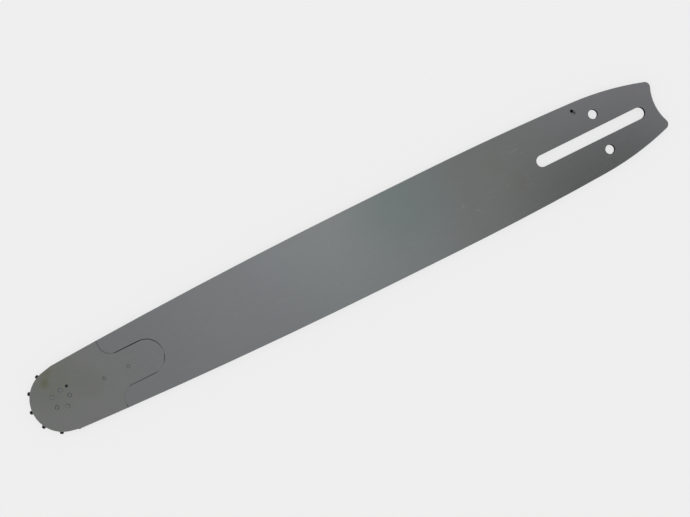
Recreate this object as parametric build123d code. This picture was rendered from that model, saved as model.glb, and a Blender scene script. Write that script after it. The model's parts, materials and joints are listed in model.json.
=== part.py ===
from build123d import *
from math import acos, asin, atan2, cos, degrees, floor, pi, radians, sin, tan
import os

# A chainsaw guide bar with a riveted sprocket nose. Sizes are in millimetres and degrees.
# The bar lies on its back face. The origin is the centre of the stud slot on that face,
# +X points to the nose, +Y lies across the bar and +Z is the thickness.

# Blank: the plan outline that the body and the nose plates share
bar_thickness = 4.8
nose_reach = 519.0         # slot centre to the tip of the nose rim
rim_radius = 27.7
rim_relief = 1.2           # the rim stands in from the rails, so that the sprocket carries the chain
rail_end_back = 2.8        # rim's centre back to the corner where the rails end
half_width = 36.4          # half of the parallel stretch, the widest part of the bar
flat_front = 207.0         # where the parallel stretch gives way to the long taper
flat_back = 141.8          # where it gives way to the shoulder
shoulder_radius = 2720.0
heel_start = 1.8           # where the shoulder arc runs into the tighter heel arc
heel_radius = 242.0
notch_reach = 59.8         # slot centre to the deepest point of the tail notch
notch_radius = 41.0
horn_radius = 4.5
edge_break = 0.25

# Chain groove, milled into both long edges
groove_width = 1.4
groove_depth = 8.4

# Mount at the tail
slot_length = 100.0
slot_width = 10.0
tension_hole_radius = 4.0
tension_hole_back = 10.0   # slot centre back to the line of the two holes
tension_hole_spread = 32.6
oil_hole_radius = 1.25
oil_hole_forward = 4.8
oil_hole_depth = 6.6       # rail edge in to the hole's centre, so that it opens into the groove

# Nose: two plates, each with a tongue that lies in a pocket of the body
sprocket_setback = 26.7    # rim tip back to the sprocket's axis
shoulder_setback = 47.0    # sprocket's axis back to the plates' square shoulder
tongue_setback = 94.2      # sprocket's axis back to the end of the tongue
tongue_width = 30.2
tongue_fillet = 11.0
seam_gap = 0.08
nose_rivet_setbacks = (39.9, 62.2)
nose_rivet_radius = 1.5

# Nose sprocket and its roller bearing
tooth_count = 11
sprocket_rest_angle = -2.0  # where the free sprocket happens to stand
tip_radius = 29.2
root_radius = 22.0
tooth_gap_radius = 5.5     # round bottom of the gap between two teeth
tooth_flank_angle = 33.0   # straight flank to the gap's centreline
tenon_clearance = 1.0      # tooth tips to the hollow end of the body's tenon
side_clearance = 0.1       # sprocket to each nose plate
hub_radius = 10.8
roller_diameter = 5.0
roller_clearance = 0.03    # rollers to the hub, and rollers to the sprocket's bore
roller_spacing = 0.1       # least room between two rollers
roller_end_clearance = 0.05
hub_rivet_count = 5
hub_rivet_circle = 7.7
hub_rivet_radius = 1.8
rivet_clearance = 0.04
grease_hole_radius = 1.1
grease_hole_circle = 11.9  # over the ring of rollers
grease_hole_angle = 223.0

# Derived places and sizes
half_thickness = bar_thickness / 2
half_groove = groove_width / 2
cheek_thickness = half_thickness - half_groove
rim_x = nose_reach - rim_radius
sprocket_x = nose_reach - sprocket_setback
shoulder_x = sprocket_x - shoulder_setback
tongue_x = sprocket_x - tongue_setback
tongue_half = tongue_width / 2
roller_radius = roller_diameter / 2
roller_circle = hub_radius + roller_clearance + roller_radius
bore_radius = hub_radius + roller_diameter + 2 * roller_clearance
roller_pitch_angle = 2 * asin((roller_radius + roller_spacing / 2) / roller_circle)
roller_count = floor(2 * pi / roller_pitch_angle)

# The long taper's radius and sweep make it tangent to the parallel stretch and end it at the rails' end
taper_length = rim_x - rail_end_back - flat_front
taper_drop = half_width - rim_radius - rim_relief
taper_radius = (taper_length**2 + taper_drop**2) / (2 * taper_drop)
taper_sweep = degrees(asin(taper_length / taper_radius))
taper_centre = Vector(flat_front, half_width - taper_radius)
shoulder_sweep = degrees(asin((flat_back - heel_start) / shoulder_radius))
shoulder_centre = Vector(flat_back, half_width - shoulder_radius)
towards_heel = Vector(-sin(radians(shoulder_sweep)), cos(radians(shoulder_sweep)))
heel_centre = shoulder_centre + towards_heel * (shoulder_radius - heel_radius)
blank_end = -(notch_reach + notch_radius / 2)


def rail_plan(inset):
    """The plan with rails and rim moved in by inset, the tail not yet notched.

    A straight ramp, tangent to the rim, leads down from each rail's end.
    """
    heel_sweep = degrees(asin((heel_centre.X - blank_end) / (heel_radius - inset))) - shoulder_sweep
    taper = CenterArc(taper_centre, taper_radius - inset, 90 - taper_sweep, taper_sweep)
    rail_end = taper @ 0
    to_rail = rail_end - Vector(rim_x, 0)
    ramp_angle = atan2(to_rail.Y, to_rail.X) - acos((rim_radius - inset) / to_rail.length)
    rim = CenterArc((rim_x, 0), rim_radius - inset, 0, degrees(ramp_angle))
    upper = [
        rim,
        Line(rim @ 1, rail_end),
        taper,
        Line((flat_front, half_width - inset), (flat_back, half_width - inset)),
        CenterArc(shoulder_centre, shoulder_radius - inset, 90, shoulder_sweep),
        CenterArc(heel_centre, heel_radius - inset, 90 + shoulder_sweep, heel_sweep),
    ]
    lower = [mirror(edge, Plane.XZ) for edge in upper]
    tail = Line(upper[-1] @ 1, lower[-1] @ 1)
    return make_face(upper + lower + [tail])


def blank_plan():
    """The whole outline: rails, rim, and a hollow tail between two rounded horns."""
    notch = Pos(-notch_reach - notch_radius, 0) * Circle(notch_radius)
    notched = rail_plan(0) - notch
    horns = notched.vertices().sort_by(Axis.X)[:2]
    return fillet(horns, horn_radius)


def nose_key(grow):
    """The plan area that the nose plates take, grown by grow, with room to spare round the rim."""
    half = tongue_half + grow
    shoulder = shoulder_x - grow
    head_length = nose_reach + rim_radius - shoulder
    tongue_round = tongue_x + tongue_half
    tongue_length = shoulder - tongue_round + half
    head = Pos(shoulder + head_length / 2, 0) * Rectangle(head_length, 2 * half_width)
    tongue = Pos(tongue_round + tongue_length / 2, 0) * Rectangle(tongue_length, 2 * half)
    key = head + tongue + Pos(tongue_round, 0) * Circle(half)
    corners = [key.vertices().sort_by_distance((shoulder, side * half))[0] for side in (1, -1)]
    return fillet(corners, tongue_fillet - grow)


def rivet(radius):
    """A rivet as it is once peened and ground flush with both faces of the bar."""
    return extrude(Circle(radius), half_thickness, both=True)


def nose_rivets(grow=0):
    """The two rivets that hold the plates' tongues to the body's tenon."""
    one = rivet(nose_rivet_radius + grow)
    return [Pos(sprocket_x - setback, 0, 0) * one for setback in nose_rivet_setbacks]


def hub_rivets(grow=0):
    """The ring of rivets that clamps the hub between the plates, the first on the centreline."""
    one = rivet(hub_rivet_radius + grow)
    ring = PolarLocations(hub_rivet_circle, hub_rivet_count, start_angle=180)
    return [Pos(sprocket_x, 0, 0) * place * one for place in ring]


def mount_cuts():
    """Plan of the stud slot and of the two chain tension holes."""
    holes = [
        Pos(-tension_hole_back, side * tension_hole_spread / 2) * Circle(tension_hole_radius)
        for side in (1, -1)
    ]
    return [SlotOverall(slot_length, slot_width)] + holes


def oil_hole():
    """Plan of the oil hole in the front cheek, the groove's depth being open behind it."""
    angle = asin((shoulder_centre.X - oil_hole_forward) / shoulder_radius)
    rail = shoulder_centre.Y + shoulder_radius * cos(angle)
    return Pos(oil_hole_forward, oil_hole_depth - rail) * Circle(oil_hole_radius)


def front_slab():
    """The whole plan from the groove's wall out to the front face, its outline broken."""
    slab = extrude(Pos(0, 0, half_groove) * blank_plan(), cheek_thickness)
    face = slab.faces().sort_by(Axis.Z)[-1]
    return chamfer(face.outer_wire().edges(), edge_break)


def cutter(plan):
    """A tool that reaches from the middle of the bar out through its front."""
    return extrude(plan, bar_thickness)


def flipped(piece):
    """The same piece on the other side, turned over about the bar's long axis."""
    return Rot(180, 0, 0) * piece


def make_bar_body():
    """Two cheeks on a web: the web stops short of the rails, and runs on as the nose tenon."""
    cheek_cuts = [nose_key(seam_gap), oil_hole()] + mount_cuts()
    cheek = front_slab() - [cutter(plan) for plan in cheek_cuts]
    sprocket_room = Pos(sprocket_x, 0) * Circle(tip_radius + tenon_clearance)
    web_plan = (rail_plan(groove_depth) & blank_plan()) - sprocket_room - mount_cuts()
    web = extrude(web_plan, half_groove, both=True)
    return cheek + web + flipped(cheek) - nose_rivets(rivet_clearance)


def make_nose_plate():
    """The front nose plate, with its grease hole over the ring of rollers."""
    angle = radians(grease_hole_angle)
    grease_x = sprocket_x + grease_hole_circle * cos(angle)
    grease_y = grease_hole_circle * sin(angle)
    grease_hole = cutter(Pos(grease_x, grease_y) * Circle(grease_hole_radius))
    plate = (front_slab() & cutter(nose_key(0))) - grease_hole
    return plate - nose_rivets(rivet_clearance) - hub_rivets(rivet_clearance)


def make_hub():
    """The bearing's fixed inner race, as thick as the gap between the plates."""
    disc = extrude(Pos(sprocket_x, 0) * Circle(hub_radius), half_groove, both=True)
    return disc - hub_rivets(rivet_clearance)


def tooth_gap():
    """Plan of one gap, lying along +X: a round bottom with straight flanks tangent to it."""
    flank = radians(tooth_flank_angle)
    bottom_centre = root_radius + tooth_gap_radius
    near_x = bottom_centre - tooth_gap_radius * sin(flank)
    near_y = tooth_gap_radius * cos(flank)
    far_x = tip_radius + tooth_gap_radius
    far_y = near_y + (far_x - near_x) * tan(flank)
    corners = [(near_x, near_y), (far_x, far_y), (far_x, -far_y), (near_x, -near_y)]
    return Pos(bottom_centre, 0) * Circle(tooth_gap_radius) + make_face(Polyline(*corners, close=True))


def make_sprocket():
    """A star of narrow teeth round a plain bore, one tooth pointing nearly along +X at rest."""
    first_gap = sprocket_rest_angle + 180 / tooth_count
    gaps = PolarLocations(0, tooth_count, start_angle=first_gap) * tooth_gap()
    star = Circle(tip_radius) - gaps - Circle(bore_radius)
    return extrude(Pos(sprocket_x, 0) * star, half_groove - side_clearance, both=True)


def make_rollers():
    """The loose rollers that fill the space between the hub and the sprocket."""
    roller = extrude(Circle(roller_radius), half_groove - roller_end_clearance, both=True)
    ring = PolarLocations(roller_circle, roller_count)
    return [Pos(sprocket_x, 0, 0) * place * roller for place in ring]


def write_node(name, piece):
    """Writes one node, lifted so that the bar's back face lies on Z = 0."""
    export_step(Pos(0, 0, half_thickness) * piece, f"parts/{name}.step")


os.makedirs("parts", exist_ok=True)
nose_plate = make_nose_plate()
write_node("bar_body", make_bar_body())
write_node("nose_plate_front", nose_plate)
write_node("nose_plate_back", flipped(nose_plate))
write_node("bearing_hub", make_hub())
write_node("nose_sprocket", make_sprocket())
write_node("hub_rivets", Compound(hub_rivets()))
write_node("nose_rivets", Compound(nose_rivets()))
for number, roller in enumerate(make_rollers(), start=1):
    write_node(f"bearing_roller_{number:02d}", roller)
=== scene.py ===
import json
from functools import partial, reduce
from math import cos, pi, radians, sin

import bmesh
import bpy
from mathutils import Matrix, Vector


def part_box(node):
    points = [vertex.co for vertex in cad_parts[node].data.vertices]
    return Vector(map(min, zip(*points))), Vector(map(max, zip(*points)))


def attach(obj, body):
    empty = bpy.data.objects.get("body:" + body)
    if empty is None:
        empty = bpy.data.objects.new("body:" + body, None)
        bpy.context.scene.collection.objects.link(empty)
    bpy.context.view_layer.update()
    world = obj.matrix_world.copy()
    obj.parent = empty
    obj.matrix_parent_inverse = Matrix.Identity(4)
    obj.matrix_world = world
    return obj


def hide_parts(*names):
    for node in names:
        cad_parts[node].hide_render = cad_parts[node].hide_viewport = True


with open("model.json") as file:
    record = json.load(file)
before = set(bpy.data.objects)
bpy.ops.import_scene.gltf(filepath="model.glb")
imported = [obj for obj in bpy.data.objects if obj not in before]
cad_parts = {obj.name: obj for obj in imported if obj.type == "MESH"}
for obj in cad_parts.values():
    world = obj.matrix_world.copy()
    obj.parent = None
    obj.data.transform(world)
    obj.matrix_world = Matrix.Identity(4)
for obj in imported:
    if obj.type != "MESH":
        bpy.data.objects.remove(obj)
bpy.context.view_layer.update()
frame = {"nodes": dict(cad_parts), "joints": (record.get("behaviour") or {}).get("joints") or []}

# Looks of a chainsaw guide bar: satin grey steel, a sprocket nose with blackened teeth, and a pale floor.
# Sizes and places are in millimetres in the CAD part's frame: X to the nose, Y across, Z out of the front.
MM = 0.001
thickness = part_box("bar_body")[1].z / MM
mid_plane = thickness / 2
sprocket_x = frame["joints"][0]["pos_m"][0] / MM

# Colours, linear red, green, blue and alpha
tail_grey = (0.164, 0.165, 0.172, 1.0)
mount_grey = (0.139, 0.145, 0.142, 1.0)
body_grey = (0.152, 0.162, 0.162, 1.0)
waist_grey = (0.144, 0.151, 0.155, 1.0)
fore_grey = (0.150, 0.155, 0.158, 1.0)
nose_grey = (0.154, 0.158, 0.154, 1.0)
rivet_grey = (0.138, 0.149, 0.150, 1.0)
# Bright worn steel, for the wear on edges and rails, and for painted glints on the rivets' high spots
worn_steel_and_glint = (0.24, 0.245, 0.245, 1.0)
scratch_steel = (0.30, 0.30, 0.29, 1.0)
cut_oxide = (0.022, 0.021, 0.020, 1.0)
# Black for the oil in the drilled holes, and for painted shade along the seam and on the rivets' rolled
# rims
soot_and_shade_black = (0.018, 0.018, 0.017, 1.0)
groove_oil = (0.030, 0.029, 0.027, 1.0)
black_oxide = (0.020, 0.020, 0.021, 1.0)
worn_oxide = (0.085, 0.083, 0.081, 1.0)
# Painted shade: the bearing's races and rollers, far darker than ground steel, for the shade under the
# grease hole
shaded_race_steel = (0.06, 0.06, 0.058, 1.0)
old_grease = (0.018, 0.015, 0.010, 1.0)
oil_olive = (0.104, 0.108, 0.060, 1.0)
oil_brown = (0.125, 0.108, 0.080, 1.0)
oil_black = (0.020, 0.019, 0.016, 1.0)
# Painted shade: a broad darkening over the lower tail
painted_tail_shade = (0.088, 0.090, 0.089, 1.0)
# A painted cool sheen on the middle of the bar
painted_cool_sheen = (0.122, 0.146, 0.146, 1.0)
floor_grey = (0.863, 0.863, 0.863, 1.0)

# How the steel's tone drifts along the bar: place along X, colour. On the body it holds a painted
# highlight: lighter from 170 to 225 mm, darker about 80 to 105 mm and at 300 mm.
body_tone_and_highlight = [
    (-25, tail_grey), (80, mount_grey), (105, mount_grey), (170, body_grey),
    (225, body_grey), (300, waist_grey), (380, fore_grey),
]
nose_drift = [(400, fore_grey), (470, nose_grey)]

# Stains on the front face, and on the body also painted shade over the lower tail and a painted cool sheen:
# centre, radius, colour, strength, patchiness
nose_stains = [
    ((493.4, -17.3), 32, oil_olive, 0.25, 0.5),
    ((466, -3), 18.4, oil_olive, 0.17, 0.5),
    ((499.3, -17.9), 6.4, oil_olive, 0.64, 1.6),
    ((494, -24.8), 6.3, oil_olive, 0.39, 1.2),
]
body_stains = [
    # Painted shade, darkening the lower tail
    ((1, 68), 116.5, painted_tail_shade, 1.0, 0.3),
    # A painted cool sheen, darker in red, on the middle of the bar
    ((165, -22.5), 66, painted_cool_sheen, 0.6, 0.3),
    ((69, 8), 18, oil_brown, 0.10, 1.0),
    ((85, -15), 12, oil_olive, 0.12, 0.8),
    ((3.5, -24.2), 2.2, oil_black, 0.75, 0.6),
]

# The share of a patch's radius inside which it is whole, and the share of its strength there on average
patch_core = 0.15
patch_cover = 0.9

# Scratches on the front face: start, end, width, strength
body_scratches = [
    ((60, -18.5), (67, -17.6), 1.0, 0.10),
    ((62.5, 3.2), (61.5, 9.1), 0.5, 0.12),
    ((66.9, 11.2), (60.5, 13.5), 0.6, 0.10),
    ((80.7, -5.0), (76.4, -3.0), 0.5, 0.12),
    ((80.7, 4.0), (78.9, 7.5), 0.5, 0.12),
    ((112.1, 11.6), (109.3, 14.9), 0.4, 0.30),
    ((120.4, 3.8), (122.0, 5.2), 0.5, 0.30),
]

# The share of a scratch's width inside which it is whole
scratch_core = 0.2

# Fine hairs all over: their strength, and how far their noise is moved off the grain's
hair_strength = 0.10
hair_shift = (0, 7, 0)

# Depths below the front face to which its stains, painted shade and scratches are whole, and at which they
# are gone
front_whole = 0.5
front_gone = 1.5

# Where each finish starts and is whole, by how upright the face is, from 0 when flat to 1 on a wall
edge_past_face = (0.08, 0.25)
edge_before_wall = (0.60, 0.40)
bare_rail = (0.5, 0.8)
cut_wall = (0.3, 0.6)
# Where the painted shade on the rivets' rolled rims starts and is whole
rolled_rim = (0.01, 0.05)

# The share of bright worn steel on the rails
rail_wear = 0.6

# Drilled holes in the front face, black with oil: centre, radius
oil_hole = ((4.8, -26.35), 1.25)
grease_hole = ((sprocket_x - 8.70, -8.12), 1.1)

# How far past a drilled hole's wall its rim is all black, and where the black ends
rim_whole = 0.05
rim_gone = 0.35

# The chain groove's oil: distances from the mid plane to which it is whole, and at which it is gone
groove_whole = 0.72
groove_gone = 0.80

# The round notch in the tail, whose wall is free of the groove's oil
notch_centre = (-100.8, 0)
notch_radius = 41.0

# How far behind that wall the oil starts, and where it is whole
notch_oil_starts = 0.05
notch_oil_whole = 0.3

# The slot and the tension holes, whose walls keep a dark cutting scale, lie within this reach along X and Y
mount_reach = 55
mount_half_width = 20.7

# How far past that reach the scale fades out
mount_reach_fade = 1
mount_width_fade = 0.5

# The outline of the nose plates, along which the seam runs: a round tongue, fillets and a square shoulder
tongue_end_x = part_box("nose_plate_front")[0].x / MM
tongue_half = 15.1
tongue_round_x = tongue_end_x + tongue_half
tongue_fillet = 11.0
shoulder_to_sprocket = 47.0
shoulder_x = sprocket_x - shoulder_to_sprocket
fillet_x = shoulder_x - tongue_fillet

# Painted shade along the seam, a dark line that stands for the shadow in its gap: how far it reaches to
# either side, and the share of that inside which it is whole
seam_reach = 0.55
seam_core = 0.5

# Where along X that painted shade starts and is whole, on the tongue's flanks, its round end and the
# shoulders
flank_past_round = (tongue_round_x - 5, tongue_round_x)
flank_before_fillet = (fillet_x + 4, fillet_x)
flank_off_fillet = (fillet_x + 2, fillet_x - 14)
round_before_flank = (tongue_round_x + 5, tongue_round_x)
shoulder_past_fillet = (fillet_x + 3, fillet_x + 7)

# Where along Y it starts and is whole
flank_minus_side = (10, -10)
round_minus_side = (6, -12)
round_patch_inside = (1.5, 6)
round_patch_outside = (12, 8)
shoulder_minus_side = (0, -5)
shoulder_plus_end = (26.5, 28.5)

# How strong it is there
flank_minus_shade = 1.0
flank_plus_shade = 0.6
flank_fillet_share = 0.8
round_minus_shade = 0.75
round_patch_shade = 0.6
shoulder_minus_shade = 0.32
shoulder_plus_shade = 0.55

# A peened rivet end, from its middle out to its rim: share of the radius, depth below the face
peened_end = [(0.0, 0.06), (0.45, 0.06), (0.70, 0.0), (0.82, 0.02), (0.92, 0.077), (1.0, 0.22)]

# Multiplies a place so that only X and Y are left
in_plan = (1, 1, 0)


class Graph:
    """A material's node graph. Most methods add one step and give back its output."""

    # The Mix node's sockets for colours, by number
    mix_share = 0
    mix_a = 6
    mix_b = 7
    mix_result = 2

    def __init__(self, slot_name):
        self.tree = bpy.data.materials[slot_name].node_tree
        self.tree.nodes.clear()
        self.output = self.add("ShaderNodeOutputMaterial")
        self.shader = self.add("ShaderNodeBsdfPrincipled")
        self.feed(self.output.inputs["Surface"], self.shader.outputs["BSDF"])

    def add(self, kind, inputs=None, **settings):
        """Adds a node with these inputs and settings, and gives back the node itself."""
        node = self.tree.nodes.new(kind)
        for name, value in settings.items():
            setattr(node, name, value)
        for key, value in (inputs or {}).items():
            self.feed(node.inputs[key], value)
        return node

    def feed(self, socket, value):
        """Links another node's output to the socket, or sets a plain value there."""
        if isinstance(value, bpy.types.NodeSocket):
            self.tree.links.new(value, socket)
        else:
            socket.default_value = value

    def math(self, operation, a, b=0.0):
        return self.add("ShaderNodeMath", {0: a, 1: b}, operation=operation).outputs[0]

    def product(self, *factors):
        return reduce(partial(self.math, "MULTIPLY"), factors)

    def largest(self, *values):
        return reduce(partial(self.math, "MAXIMUM"), values)

    def hypotenuse(self, a, b):
        squares = [self.product(side, side) for side in (a, b)]
        return self.math("SQRT", self.math("ADD", *squares))

    def vector(self, operation, a, b):
        """A vector step; for SCALE, b is the number to scale by."""
        key = "Scale" if operation == "SCALE" else 1
        node = self.add("ShaderNodeVectorMath", {0: a, key: b}, operation=operation)
        plain_number = operation in ("DOT_PRODUCT", "DISTANCE")
        return node.outputs["Value" if plain_number else "Vector"]

    def fade(self, value, start, end):
        """0 at start, 1 at end, smooth between them; start may be the larger."""
        ends = {"Value": value, "From Min": start, "From Max": end}
        return self.add("ShaderNodeMapRange", ends, interpolation_type="SMOOTHSTEP").outputs["Result"]

    def between(self, share, low, high):
        """low where share is 0, high where it is 1."""
        return self.math("ADD", self.math("MULTIPLY", share, high - low), low)

    def weigh(self, base, *weighted):
        """base plus each (value, weight), the values counted from their middle at 0.5."""
        total = base - sum(weight for value, weight in weighted) / 2
        for value, weight in weighted:
            total = self.math("ADD", self.math("MULTIPLY", value, weight), total)
        return total

    def mix(self, share, a, b):
        """Colour a, with that share of colour b."""
        inputs = {self.mix_share: share, self.mix_a: a, self.mix_b: b}
        return self.add("ShaderNodeMix", inputs, data_type="RGBA").outputs[self.mix_result]

    def place(self):
        """Where the point lies in the CAD frame, in millimetres."""
        return self.vector("SCALE", self.add("ShaderNodeTexCoord").outputs["Object"], 1 / MM)

    def split(self, vector):
        """The three parts of a vector, by order or by the names X, Y and Z."""
        return self.add("ShaderNodeSeparateXYZ", {0: vector}).outputs

    def plan_distance(self, place, centre):
        """Distance in plan to a point."""
        return self.vector("DISTANCE", self.vector("MULTIPLY", place, in_plan), (*centre, 0))

    def noise(self, place, size, detail, stretch=(1, 1, 1)):
        """Cloudy noise from 0 to 1 with features of about size millimetres."""
        stretched = self.vector("MULTIPLY", place, stretch)
        inputs = {"Vector": stretched, "Scale": 1 / size, "Detail": detail}
        return self.add("ShaderNodeTexNoise", inputs).outputs["Fac"]

    def upright(self):
        """1 on a wall, 0 on a face that lies flat, and about 0.3 on an edge broken at 45 degrees."""
        normal = self.split(self.add("ShaderNodeNewGeometry").outputs["True Normal"])
        return self.math("SUBTRACT", 1.0, self.math("ABSOLUTE", normal["Z"]))

    def bump(self, height, depth):
        """Feeds the shader a bump of that depth in millimetres."""
        inputs = {"Height": height, "Distance": depth * MM, "Strength": 1.0}
        self.feed(self.shader.inputs["Normal"], self.add("ShaderNodeBump", inputs).outputs["Normal"])

    def set(self, **values):
        """Feeds the shader's inputs by their names, with _ for a space."""
        for name, value in values.items():
            self.feed(self.shader.inputs[name.replace("_", " ")], value)


class Plate(Graph):
    """The graph of a ground steel plate, with the places and noises that its steps share."""

    def __init__(self, slot_name):
        super().__init__(slot_name)
        self.point = self.place()
        self.x, self.y, self.z = self.split(self.point)
        self.from_middle = self.math("SUBTRACT", self.z, mid_plane)
        self.front = self.fade(self.z, start=thickness - front_gone, end=thickness - front_whole)
        self.wall = self.upright()
        self.clouds = self.noise(self.point, size=60, detail=4)
        self.mottle = self.noise(self.point, size=5, detail=3)
        self.speckle = self.noise(self.point, size=0.7, detail=2)
        self.pits = self.noise(self.point, size=0.16, detail=2)
        self.grain = self.noise(self.point, size=0.3, detail=2, stretch=(0.02, 1, 1))

    def ground(self, drift):
        """Bare ground steel, whose colour drifts along the bar from each (place, colour) to the next; on
        the body that drift holds a painted highlight.
        """
        (start, colour), *later = drift
        for end, next_colour in later:
            colour = self.mix(self.fade(self.x, start, end), colour, next_colour)
            start = end
        broad = [(self.clouds, 0.08), (self.mottle, 0.05)]
        fine = [(self.speckle, 0.06), (self.grain, 0.14), (self.pits, 0.30)]
        return self.vector("SCALE", colour, self.weigh(1.0, *broad, *fine))

    def stained_and_shaded(self, colour, stain_and_shade_patches):
        """The colour under stains, painted shade and painted sheen, which lie in patches on the front face.
        """
        for centre, radius, patch_colour, strength, patchiness in stain_and_shade_patches:
            from_centre = self.plan_distance(self.point, centre)
            spread = self.fade(from_centre, start=radius, end=patch_core * radius)
            patches = self.weigh(patch_cover, (self.mottle, patchiness))
            colour = self.mix(self.product(spread, patches, self.front, strength), colour, patch_colour)
        return colour

    def scratch(self, start, end, width):
        """1 along a straight scratch, and 0 from width off its line."""
        first = Vector((*start, 0))
        along = Vector((*end, 0)) - first
        offset = self.vector("SUBTRACT", self.vector("MULTIPLY", self.point, in_plan), tuple(first))
        share = self.vector("DOT_PRODUCT", offset, tuple(along / along.length_squared))
        clamped = self.math("MINIMUM", self.math("MAXIMUM", share, 0.0), 1.0)
        nearest = self.vector("SCALE", tuple(along), clamped)
        return self.fade(self.vector("DISTANCE", offset, nearest), start=width, end=scratch_core * width)

    def scratched(self, colour, scratches):
        """The colour with scratches on the front face, and with fine lengthwise hairs all over."""
        for start, end, width, strength in scratches:
            share = self.product(self.scratch(start, end, width), self.front, strength)
            colour = self.mix(share, colour, scratch_steel)
        shifted = self.vector("ADD", self.point, hair_shift)
        streaks = self.noise(shifted, size=0.5, detail=1, stretch=(0.03, 1, 1))
        hairs = self.fade(streaks, start=0.66, end=0.74)
        return self.mix(self.product(hairs, hair_strength), colour, scratch_steel)

    def worn(self, colour):
        """The colour with bright, streaked steel on the broken edges, in patches, and on the rails."""
        streaks = self.weigh(1.0, (self.grain, 0.7), (self.speckle, 0.3), (self.mottle, 0.4))
        streaked = self.vector("SCALE", worn_steel_and_glint[:3], streaks)
        past_face = self.fade(self.wall, *edge_past_face)
        before_wall = self.fade(self.wall, *edge_before_wall)
        patches = self.between(self.mottle, low=0.1, high=0.9)
        colour = self.mix(self.product(past_face, before_wall, patches), colour, streaked)
        rail = self.fade(self.wall, *bare_rail)
        return self.mix(self.product(rail, rail_wear), colour, streaked)

    def cut_scale(self):
        """1 on the walls of the slot and the tension holes."""
        along = self.math("ABSOLUTE", self.x)
        across = self.math("ABSOLUTE", self.y)
        in_reach = self.fade(along, start=mount_reach + mount_reach_fade, end=mount_reach)
        in_width = self.fade(across, start=mount_half_width + mount_width_fade, end=mount_half_width)
        return self.product(in_reach, in_width, self.fade(self.wall, *cut_wall))

    def groove(self):
        """1 in the band of the chain groove, and 0 on the notch's wall."""
        off_middle = self.math("ABSOLUTE", self.from_middle)
        past_notch = self.math("SUBTRACT", self.plan_distance(self.point, notch_centre), notch_radius)
        return self.product(
            self.fade(off_middle, start=groove_gone, end=groove_whole),
            self.fade(past_notch, start=notch_oil_starts, end=notch_oil_whole),
        )

    def drilled(self, centre, radius):
        """1 in a drilled hole of the front and on its rim, and at the back's, turned over about X."""
        turned_y = self.math("MULTIPLY", self.y, self.math("SIGN", self.from_middle))
        either_side = self.add("ShaderNodeCombineXYZ", {"X": self.x, "Y": turned_y}).outputs["Vector"]
        from_axis = self.plan_distance(either_side, centre)
        return self.fade(from_axis, start=radius + rim_gone, end=radius + rim_whole)

    def seam_distance(self):
        """Distance in plan to the outline of the nose plates."""
        behind = self.math("MINIMUM", self.math("SUBTRACT", self.x, tongue_round_x), 0.0)
        to_tongue = self.math("SUBTRACT", self.hypotenuse(behind, self.y), tongue_half)
        to_shoulder = self.math("SUBTRACT", shoulder_x, self.x)
        near_tongue = self.math("MAXIMUM", self.math("SUBTRACT", tongue_fillet, to_tongue), 0.0)
        near_shoulder = self.math("MAXIMUM", self.math("SUBTRACT", tongue_fillet, to_shoulder), 0.0)
        outside = self.math("MAXIMUM", self.math("MINIMUM", to_tongue, to_shoulder), tongue_fillet)
        corner = self.hypotenuse(near_tongue, near_shoulder)
        return self.math("ABSOLUTE", self.math("SUBTRACT", outside, corner))

    def flank_shade(self):
        """Painted shade on the tongue's straight flanks: less on the +Y one, and a little less near the
        fillets.
        """
        past_round = self.fade(self.x, *flank_past_round)
        before_fillet = self.fade(self.x, *flank_before_fillet)
        off_fillet = self.between(self.fade(self.x, *flank_off_fillet), low=flank_fillet_share, high=1.0)
        minus_side = self.fade(self.y, *flank_minus_side)
        strength = self.between(minus_side, low=flank_plus_shade, high=flank_minus_shade)
        return self.product(past_round, before_fillet, off_fillet, strength)

    def round_end_shade(self):
        """Painted shade on the tongue's round end: most on its -Y side, and a patch on the other."""
        on_round_end = self.fade(self.x, *round_before_flank)
        minus_side = self.fade(self.y, *round_minus_side)
        patch_inside = self.fade(self.y, *round_patch_inside)
        patch_outside = self.fade(self.y, *round_patch_outside)
        strength = self.largest(
            self.product(minus_side, round_minus_shade),
            self.product(patch_inside, patch_outside, round_patch_shade),
        )
        return self.product(on_round_end, strength)

    def shoulder_shade(self):
        """Painted shade on the shoulders: a trace on the -Y side, and more at the outer end of the +Y side.
        """
        past_fillet = self.fade(self.x, *shoulder_past_fillet)
        minus_side = self.fade(self.y, *shoulder_minus_side)
        plus_end = self.fade(self.y, *shoulder_plus_end)
        strength = self.largest(
            self.product(minus_side, shoulder_minus_shade),
            self.product(plus_end, shoulder_plus_shade),
        )
        return self.product(past_fillet, strength)

    def seam(self):
        """Painted shade along the seam round the nose plates, a dark line standing for the shadow in its
        gap.
        """
        near = self.fade(self.seam_distance(), start=seam_reach, end=seam_core * seam_reach)
        darkening = self.largest(self.flank_shade(), self.round_end_shade(), self.shoulder_shade())
        return self.product(near, darkening)


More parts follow.
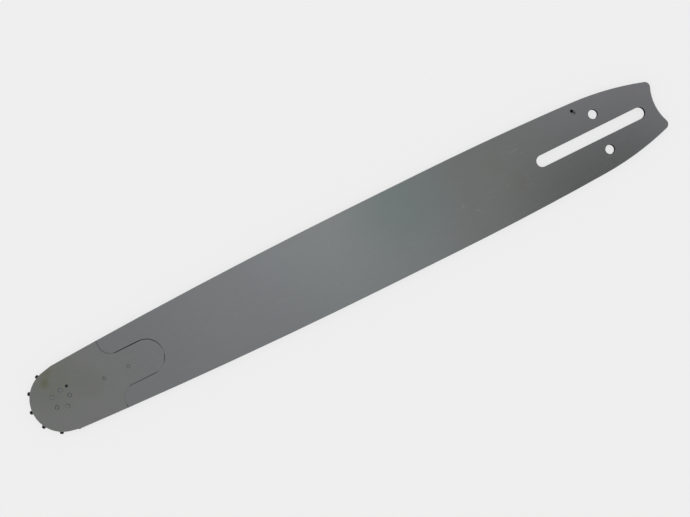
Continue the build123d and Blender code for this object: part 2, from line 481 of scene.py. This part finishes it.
def plate_steel(slot_name, drift, stain_and_shade_patches, scratches, hole):
    """Ground steel plate, stained and scratched, bright on its edges and dark in its hollows, with painted
    highlight and shade in its tone, in some patches and along the seam.
    """
    plate = Plate(slot_name)
    colour = plate.stained_and_shaded(plate.ground(drift), stain_and_shade_patches)
    colour = plate.worn(plate.scratched(colour, scratches))
    scale = plate.cut_scale()
    groove = plate.groove()
    # The seam's dark line is painted shade; the drilled holes' black is oil
    darkening = plate.largest(plate.seam(), plate.drilled(*hole))
    oil = plate.vector("SCALE", groove_oil[:3], plate.weigh(1.0, (plate.mottle, 0.8)))
    colour = plate.mix(scale, colour, cut_oxide)
    colour = plate.mix(groove, colour, oil)
    colour = plate.mix(darkening, colour, soot_and_shade_black)
    bare = plate.math("SUBTRACT", 1.0, plate.largest(scale, groove, darkening))
    roughness = plate.weigh(0.33, (plate.clouds, 0.06), (plate.grain, 0.10), (plate.speckle, 0.06))
    plate.set(Base_Color=colour, Metallic=bare, Roughness=roughness, Specular_IOR_Level=0.0)
    height = plate.weigh(0.5, (plate.grain, 0.6), (plate.speckle, 0.4), (plate.pits, 0.4))
    plate.bump(height, depth=0.006)


def rivet_steel():
    """Peened rivet ends: high spots painted bright as glints on burnished steel, and painted shade where
    the rim rolls down, most on the +Y side.
    """
    burnish_and_glint = 0.5
    graph = Graph("rivet_steel")
    place = graph.place()
    dents = graph.noise(place, size=0.5, detail=2)
    clouds = graph.noise(place, size=2, detail=2)
    colour = graph.vector("SCALE", rivet_grey[:3], graph.weigh(1.0, (dents, 0.25), (clouds, 0.2)))
    # Painted glints: the high spots are lightened towards worn steel
    high_spots = graph.fade(clouds, start=0.50, end=0.62)
    colour = graph.mix(graph.product(high_spots, burnish_and_glint), colour, worn_steel_and_glint)
    # Painted shade on the rolled rim, stronger towards +Y and in patches
    plus_side = graph.fade(graph.split(place)["Y"], start=-8, end=5)
    low_spots = graph.fade(clouds, start=0.58, end=0.40)
    darkening = graph.product(
        graph.fade(graph.upright(), *rolled_rim),
        graph.between(plus_side, low=0.4, high=1.0),
        graph.between(low_spots, low=0.2, high=1.0),
    )
    colour = graph.mix(darkening, colour, soot_and_shade_black)
    graph.set(Base_Color=colour, Metallic=1.0, Roughness=graph.weigh(0.35, (dents, 0.2)))
    graph.bump(dents, depth=0.02)


def sprocket_steel():
    """Black oxide, rubbed a little on the teeth."""
    rub_starts = 24
    rub_whole = 29
    rub_share = 0.6
    graph = Graph("sprocket_steel")
    place = graph.place()
    clouds = graph.noise(place, size=4, detail=3)
    speckle = graph.noise(place, size=0.4, detail=2)
    from_axis = graph.plan_distance(place, (sprocket_x, 0))
    on_teeth = graph.fade(from_axis, start=rub_starts, end=rub_whole)
    patches = graph.fade(clouds, start=0.5, end=0.75)
    colour = graph.vector("SCALE", black_oxide[:3], graph.weigh(1.0, (speckle, 0.5)))
    colour = graph.mix(graph.product(on_teeth, patches, rub_share), colour, worn_oxide)
    graph.set(Base_Color=colour, Metallic=1.0, Roughness=graph.weigh(0.5, (clouds, 0.2)))
    graph.bump(speckle, depth=0.01)


def bearing_steel():
    """Ground races and rollers under a film of old grease, the steel painted dark for the shade they lie in
    under the grease hole.
    """
    graph = Graph("bearing_steel")
    place = graph.place()
    film = graph.noise(place, size=2.5, detail=3)
    lines = graph.noise(place, size=0.15, detail=1, stretch=(1, 1, 6))
    colour = graph.vector("SCALE", shaded_race_steel[:3], graph.weigh(1.0, (lines, 0.15)))
    colour = graph.mix(graph.fade(film, start=0.25, end=0.55), colour, old_grease)
    graph.set(Base_Color=colour, Metallic=1.0, Roughness=graph.weigh(0.32, (film, 0.2)))
    graph.bump(lines, depth=0.003)


def islands(node):
    """The separate solids of a CAD node, each as the box of its points: lowest and highest corner."""
    weld = 0.001
    mesh = bmesh.new()
    mesh.from_mesh(frame["nodes"][node].data)
    bmesh.ops.remove_doubles(mesh, verts=mesh.verts, dist=weld * MM)
    left = set(mesh.verts)
    boxes = []
    while left:
        todo = [left.pop()]
        points = []
        while todo:
            vertex = todo.pop()
            points.append(vertex.co.copy())
            joined = {edge.other_vert(vertex) for edge in vertex.link_edges} & left
            left -= joined
            todo.extend(joined)
        boxes.append([Vector(map(pick, zip(*points))) for pick in (min, max)])
    mesh.free()
    return sorted(boxes, key=lambda box: tuple(box[0]))


def turned(mesh, centre, profile):
    """Adds a closed form to mesh: profile, (radius, height) from axis to axis, turned round the centre."""
    steps = 48
    rings = []
    for radius, height in profile:
        # A ring on the axis is a single point
        count = steps if radius > 0 else 1
        angles = [2 * pi * step / steps for step in range(count)]
        rings.append([
            mesh.verts.new((centre.x + radius * cos(angle), centre.y + radius * sin(angle), height))
            for angle in angles
        ])
    for lower, upper in zip(rings, rings[1:]):
        for step in range(steps):
            after = step + 1
            loop = [
                lower[step % len(lower)], lower[after % len(lower)],
                upper[after % len(upper)], upper[step % len(upper)],
            ]
            # A loop that meets such a point keeps it once
            mesh.faces.new(list(dict.fromkeys(loop)))


def rivet_profile(radius):
    """A rivet peened flush at both ends, with a shallow dish and a rim that rolls down to the hole."""
    back_end = [(share * radius, depth * MM) for share, depth in peened_end]
    front_end = [(reach, thickness * MM - depth) for reach, depth in reversed(back_end)]
    return back_end + front_end


def peened_rivets(name, node):
    """Rivets with worked ends, in the place of a CAD node of plain pins."""
    mesh = bmesh.new()
    for low, high in islands(node):
        turned(mesh, (low + high) / 2, rivet_profile((high.x - low.x) / 2))
    data = bpy.data.meshes.new(name)
    bmesh.ops.recalc_face_normals(mesh, faces=mesh.faces)
    mesh.to_mesh(data)
    mesh.free()
    data.shade_smooth()
    data.materials.append(bpy.data.materials["rivet_steel"])
    piece = bpy.data.objects.new(name, data)
    bpy.context.scene.collection.objects.link(piece)
    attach(piece, "bar")
    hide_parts(node)


def make_floor():
    """A wide pale floor. A camera or a mirror sees it mostly as backdrop, so its shadow is faint."""
    half = 40000 * MM
    height = -0.2 * MM
    backdrop_share = 0.85
    data = bpy.data.meshes.new("floor")
    corners = [(-half, -half, height), (half, -half, height), (half, half, height), (-half, half, height)]
    data.from_pydata(corners, [], [(0, 1, 2, 3)])
    data.materials.append(bpy.data.materials.new("floor"))
    data.materials[0].use_nodes = True
    graph = Graph("floor")
    graph.set(Base_Color=floor_grey, Roughness=0.9, Specular_IOR_Level=0.0)
    ray = graph.add("ShaderNodeLightPath").outputs
    seen = graph.largest(ray["Is Camera Ray"], ray["Is Glossy Ray"], ray["Is Transmission Ray"])
    backdrop = graph.add("ShaderNodeEmission", {"Color": floor_grey, "Strength": 1.0}).outputs["Emission"]
    shares = {0: graph.product(seen, backdrop_share), 1: graph.shader.outputs["BSDF"], 2: backdrop}
    graph.feed(graph.output.inputs["Surface"], graph.add("ShaderNodeMixShader", shares).outputs["Shader"])
    floor = bpy.data.objects.new("floor", data)
    bpy.context.scene.collection.objects.link(floor)


def make_light():
    """An even white surround, and one broad softbox above the bar."""
    surround_white = (1.0, 1.0, 1.0, 1.0)
    surround_strength = 0.96
    softbox_watts = 0.78
    softbox_size = 300
    softbox_place = (300, -140, 1800)
    world = bpy.data.worlds.new("surround")
    world.use_nodes = True
    background = world.node_tree.nodes["Background"]
    background.inputs["Color"].default_value = surround_white
    background.inputs["Strength"].default_value = surround_strength
    bpy.context.scene.world = world
    lamp = bpy.data.lights.new("softbox", "AREA")
    lamp.size = softbox_size * MM
    lamp.energy = softbox_watts
    softbox = bpy.data.objects.new("softbox", lamp)
    softbox.location = Vector(softbox_place) * MM
    bpy.context.scene.collection.objects.link(softbox)


def make_camera():
    """Straight down on the bar, turned so that it lies across the picture as photographed."""
    image_width = 690
    focal_pixels = 1290
    sensor_width = 36.0
    camera_x = 228.5
    camera_y = -0.2
    above_face = 1075
    turn = 153.64
    data = bpy.data.cameras.new("camera")
    data.sensor_width = sensor_width
    data.lens = sensor_width * focal_pixels / image_width
    camera = bpy.data.objects.new("camera", data)
    camera.location = (camera_x * MM, camera_y * MM, (above_face + thickness) * MM)
    camera.rotation_euler = (0.0, 0.0, radians(turn))
    bpy.context.scene.collection.objects.link(camera)
    bpy.context.scene.camera = camera


plate_steel("bar_steel", body_tone_and_highlight, body_stains, body_scratches, oil_hole)
plate_steel("nose_steel", nose_drift, nose_stains, [], grease_hole)
rivet_steel()
sprocket_steel()
bearing_steel()
peened_rivets("hub_rivet_ends", "hub_rivets")
peened_rivets("nose_rivet_ends", "nose_rivets")
make_floor()
make_light()
make_camera()
bpy.context.scene.view_settings.view_transform = "Standard"
